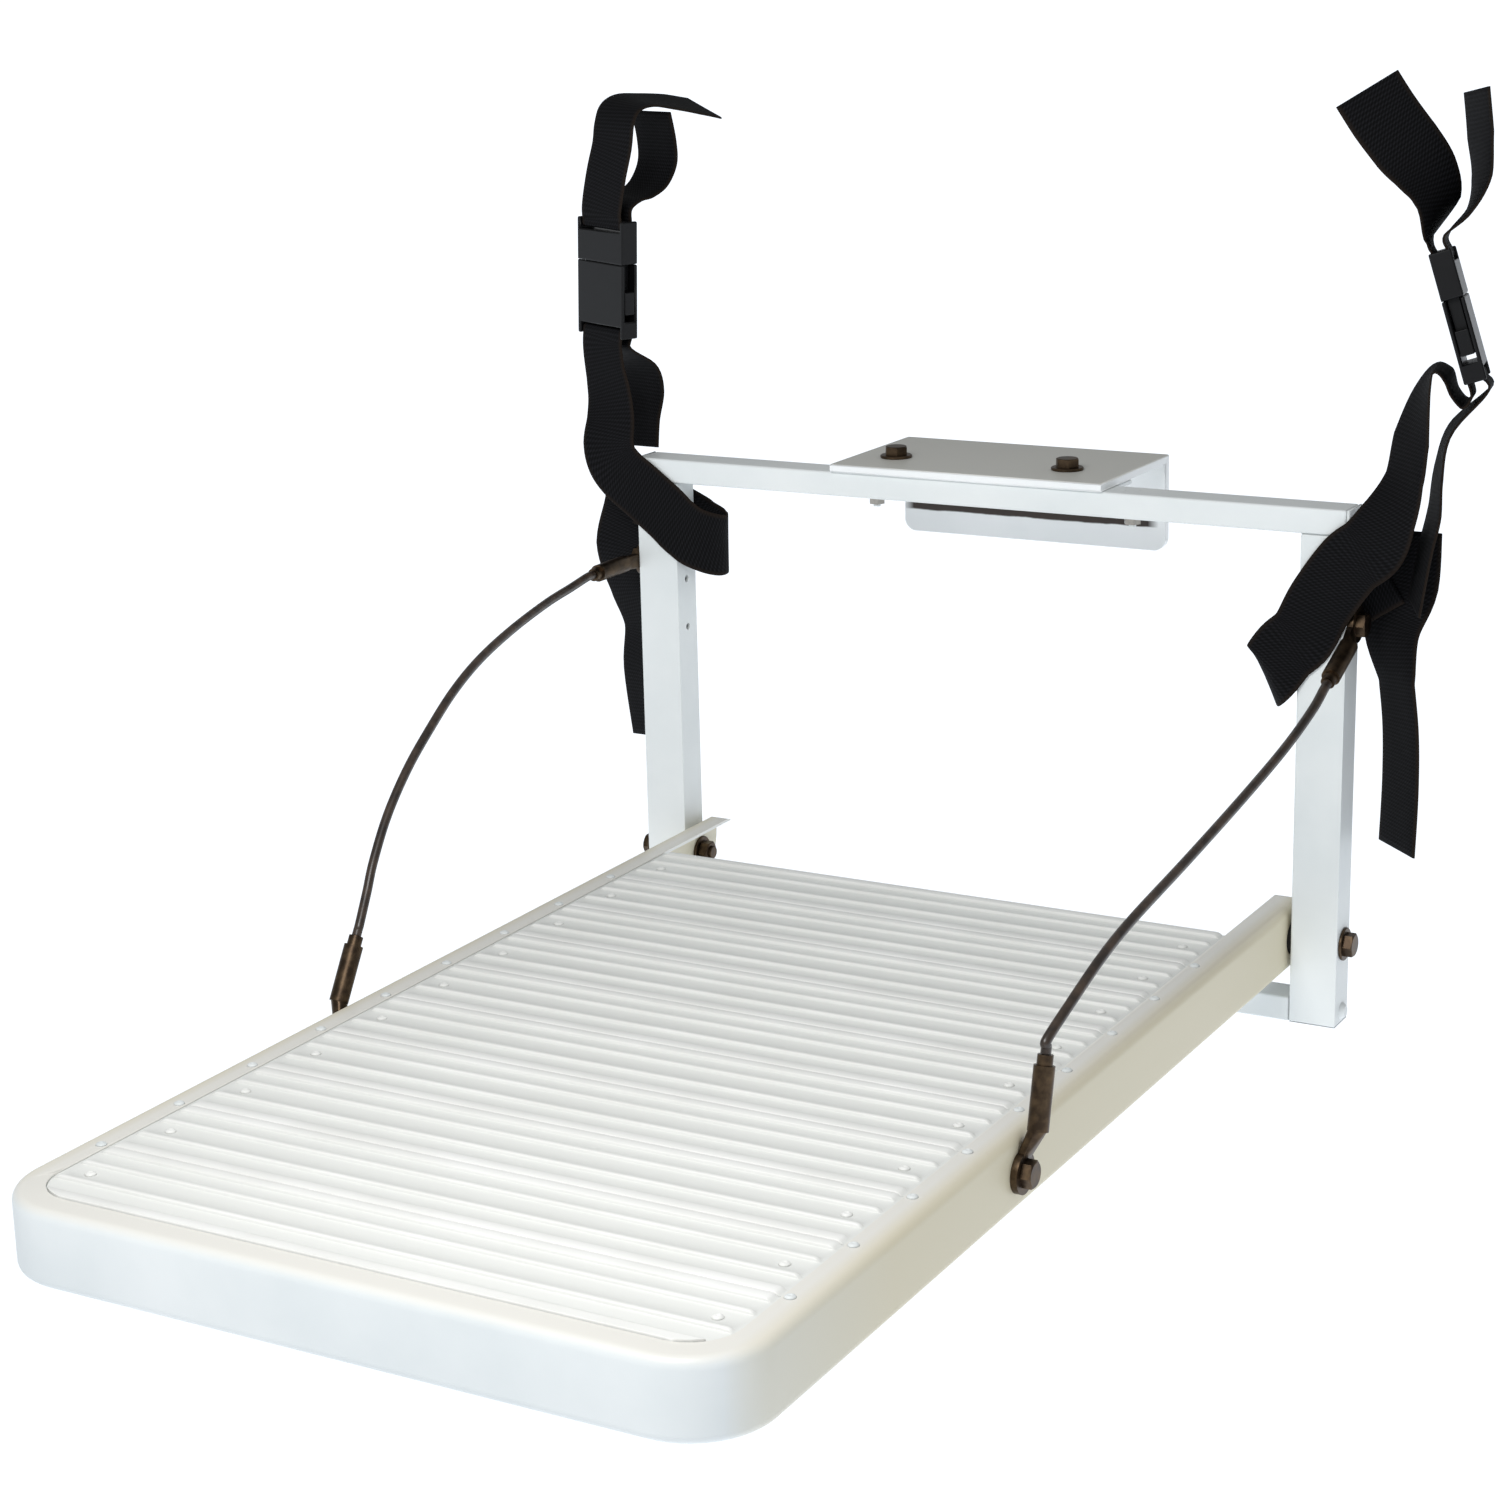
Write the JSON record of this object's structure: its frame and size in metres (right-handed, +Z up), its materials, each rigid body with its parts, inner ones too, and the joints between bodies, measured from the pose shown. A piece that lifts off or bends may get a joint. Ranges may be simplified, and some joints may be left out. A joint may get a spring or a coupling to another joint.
{
  "type": "folding tree stand platform",
  "caption": "Slatted platform in a bent channel rim, hinged on an upright tube frame with a rear hook plate, held level by coated cables and tied up with buckled web straps.",
  "frame": {"origin": "middle of the rear face of the frame's bottom tube, which lies against the trunk", "axes": "+X to the user's right as seen facing the trunk, +Y toward the trunk, +Z up; the platform reaches out along -Y"},
  "size_m": [0.6697, 0.8598, 0.6159],
  "materials": {
    "white_coat": "white powder coat on aluminium, satin",
    "deck_aluminium": "white powder coat on ribbed extrusions, satin",
    "dark_hardware": "dark bronze oxide",
    "plated_nuts": "zinc plate",
    "cable_jacket": "dark vinyl coat over steel cable",
    "webbing": "black woven webbing",
    "buckle_plastic": "black moulded plastic",
    "bush_plastic": "black nylon"
  },
  "bodies": {
    "frame": {"post_left": "white_coat", "post_right": "white_coat", "top_tube": "white_coat", "bottom_tube": "white_coat", "tube_end_plates": "white_coat", "hook_plate": "white_coat", "hook_ledge": "white_coat", "hook_bolts": "dark_hardware", "hook_washers": "dark_hardware", "hook_nuts": "dark_hardware", "tube_screws": "white_coat", "tube_screw_nuts": "plated_nuts", "foot_screws": "white_coat", "pivot_bolt_left": "dark_hardware", "pivot_bolt_right": "dark_hardware", "pivot_washers": "dark_hardware", "pivot_nuts": "dark_hardware", "cable_top_end_left": "dark_hardware", "cable_top_end_right": "dark_hardware", "cable_top_bolts": "dark_hardware", "cable_top_nuts": "dark_hardware", "strap_left": "webbing", "strap_right": "webbing", "strap_tail_left": "webbing", "strap_tail_right": "webbing", "buckle_socket_left": "buckle_plastic", "buckle_socket_right": "buckle_plastic"},
    "platform": {"platform_rim": "white_coat", "slat_1": "deck_aluminium", "slat_2": "deck_aluminium", "slat_3": "deck_aluminium", "slat_4": "deck_aluminium", "slat_5": "deck_aluminium", "slat_6": "deck_aluminium", "slat_7": "deck_aluminium", "slat_8": "deck_aluminium", "slat_9": "deck_aluminium", "slat_10": "deck_aluminium", "tie_strip_left": "white_coat", "tie_strip_right": "white_coat", "slat_rivets_left": "white_coat", "slat_rivets_right": "white_coat", "rim_rivets_left": "white_coat", "rim_rivets_right": "white_coat", "pivot_bush_left": "bush_plastic", "pivot_bush_right": "bush_plastic", "anchor_bolts": "dark_hardware", "anchor_nuts": "dark_hardware", "cable_low_end_left": "dark_hardware", "cable_low_end_right": "dark_hardware", "cable_left": "cable_jacket", "cable_right": "cable_jacket"},
    "plug_left": {"buckle_plug_left": "buckle_plastic", "strap_top_left": "webbing"},
    "plug_right": {"buckle_plug_right": "buckle_plastic", "strap_top_right": "webbing"},
    "prong_left_a": {"prong_left_a": "buckle_plastic"},
    "prong_left_b": {"prong_left_b": "buckle_plastic"},
    "prong_right_a": {"prong_right_a": "buckle_plastic"},
    "prong_right_b": {"prong_right_b": "buckle_plastic"}
  },
  "joints": [
    {"name": "platform_fold", "type": "hinge", "parent": "frame", "child": "platform", "pos_m": [0, -0.01275, 0.0465], "axis": [-1, 0, 0], "range_deg": [0, 76], "deforming": ["cable_left", "cable_right"]},
    {"name": "left_buckle_release", "type": "slide", "parent": "frame", "child": "plug_left", "axis": [0.0349, 0, 0.9994], "range_m": [0, 0.05]},
    {"name": "left_prong_a_squeeze", "type": "hinge", "parent": "plug_left", "child": "prong_left_a", "pos_m": [-0.27183, -0.01881, 0.47844], "axis": [0.3418, 0.9397, -0.0119], "range_deg": [0, 6], "stiffness_Nm_per_rad": 0.6},
    {"name": "left_prong_b_squeeze", "type": "hinge", "parent": "plug_left", "child": "prong_left_b", "pos_m": [-0.30376, -0.00719, 0.47955], "axis": [-0.3418, -0.9397, 0.0119], "range_deg": [0, 6], "stiffness_Nm_per_rad": 0.6},
    {"name": "right_buckle_release", "type": "slide", "parent": "frame", "child": "plug_right", "axis": [-0.309, 0, 0.9511], "range_m": [0, 0.05]},
    {"name": "right_prong_a_squeeze", "type": "hinge", "parent": "plug_right", "child": "prong_right_a", "pos_m": [0.32306, -0.0295, 0.47898], "axis": [0.9228, 0.2419, 0.2998], "range_deg": [0, 6], "stiffness_Nm_per_rad": 0.6},
    {"name": "right_prong_b_squeeze", "type": "hinge", "parent": "plug_right", "child": "prong_right_b", "pos_m": [0.31523, 0.00349, 0.47643], "axis": [-0.9228, -0.2419, -0.2998], "range_deg": [0, 6], "stiffness_Nm_per_rad": 0.6}
  ],
  "couplings": [
    {"joint": "left_prong_b_squeeze", "follows": "left_prong_a_squeeze", "ratio": 1},
    {"joint": "right_prong_b_squeeze", "follows": "right_prong_a_squeeze", "ratio": 1}
  ]
}
